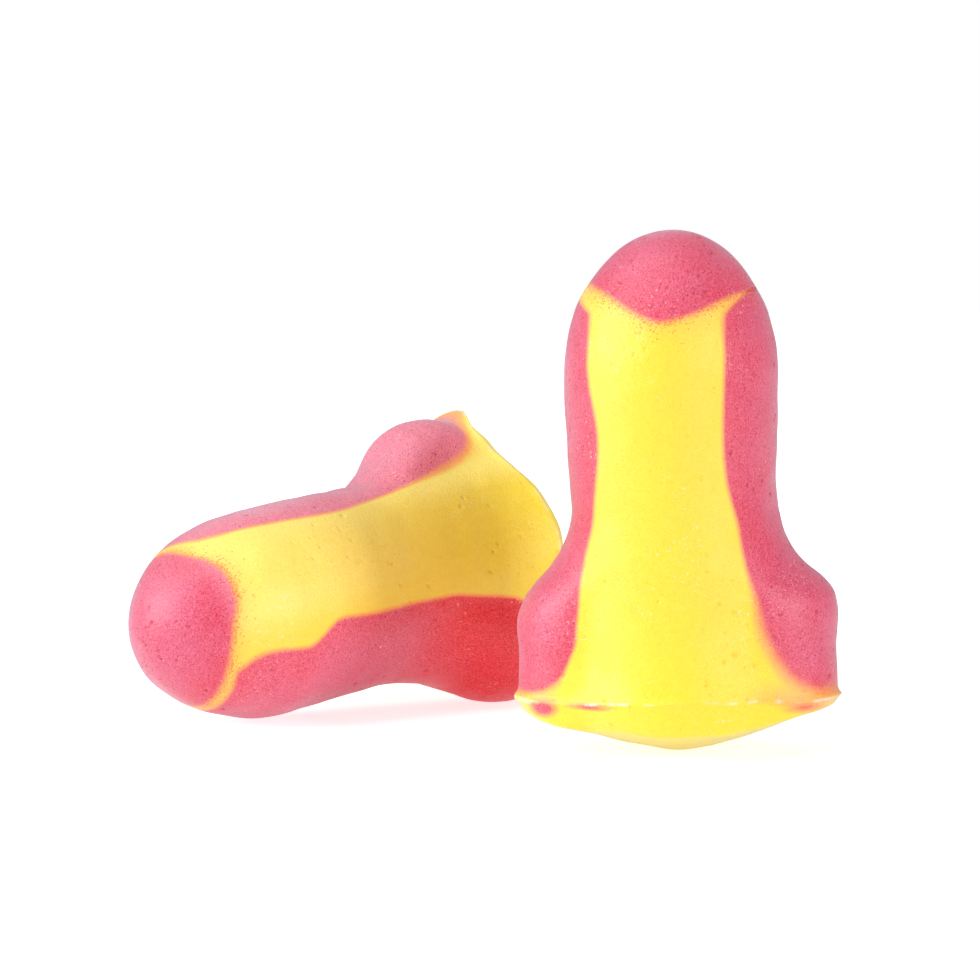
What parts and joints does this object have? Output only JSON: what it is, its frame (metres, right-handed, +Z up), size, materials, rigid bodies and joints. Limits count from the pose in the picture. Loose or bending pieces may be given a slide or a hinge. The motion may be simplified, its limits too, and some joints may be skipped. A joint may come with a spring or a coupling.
{
  "type": "foam ear plugs",
  "caption": "Pair of soft moulded T-shaped foam ear plugs in yellow and pink, one standing on its end and one lying beside it, squeezed thin to fit the ear.",
  "frame": {"origin": "bottom centre of the pair's bounding box, on the surface that they stand and lie on", "axes": "+Z up, +X across the pair towards the standing plug, and the front faces -Y"},
  "size_m": [0.0354, 0.0308, 0.0254],
  "materials": {
    "yellow_foam": "matte",
    "pink_foam": "matte"
  },
  "bodies": {
    "standing_plug": {"standing_core": "yellow_foam", "standing_nose_cap": "pink_foam"},
    "standing_left_side": {"standing_left_flank": "pink_foam"},
    "standing_right_side": {"standing_right_flank": "pink_foam"},
    "lying_plug": {"lying_core": "yellow_foam", "lying_nose_cap": "pink_foam"},
    "lying_lower_side": {"lying_lower_flank": "pink_foam"},
    "lying_upper_side": {"lying_upper_flank": "pink_foam"}
  },
  "joints": [
    {"name": "lying_plug_lift", "type": "slide", "parent": "standing_plug", "child": "lying_plug", "axis": [0, 0, 1], "range_m": [0, 0.04]},
    {"name": "standing_left_pinch", "type": "slide", "parent": "standing_plug", "child": "standing_left_side", "axis": [0.9917, -0.1288, 0], "range_m": [0, 0.0024], "stiffness_N_per_m": 200, "deforming": ["standing_core", "standing_nose_cap"]},
    {"name": "standing_right_pinch", "type": "slide", "parent": "standing_plug", "child": "standing_right_side", "axis": [-0.9917, 0.1288, 0], "range_m": [0, 0.0024], "stiffness_N_per_m": 200},
    {"name": "lying_lower_pinch", "type": "slide", "parent": "lying_plug", "child": "lying_lower_side", "axis": [-0.3982, 0.2787, 0.8739], "range_m": [0, 0.0024], "stiffness_N_per_m": 200, "deforming": ["lying_core", "lying_nose_cap"]},
    {"name": "lying_upper_pinch", "type": "slide", "parent": "lying_plug", "child": "lying_upper_side", "axis": [0.3982, -0.2787, -0.8739], "range_m": [0, 0.0024], "stiffness_N_per_m": 200}
  ],
  "couplings": [
    {"joint": "standing_right_pinch", "follows": "standing_left_pinch", "ratio": 1},
    {"joint": "lying_upper_pinch", "follows": "lying_lower_pinch", "ratio": 1}
  ]
}
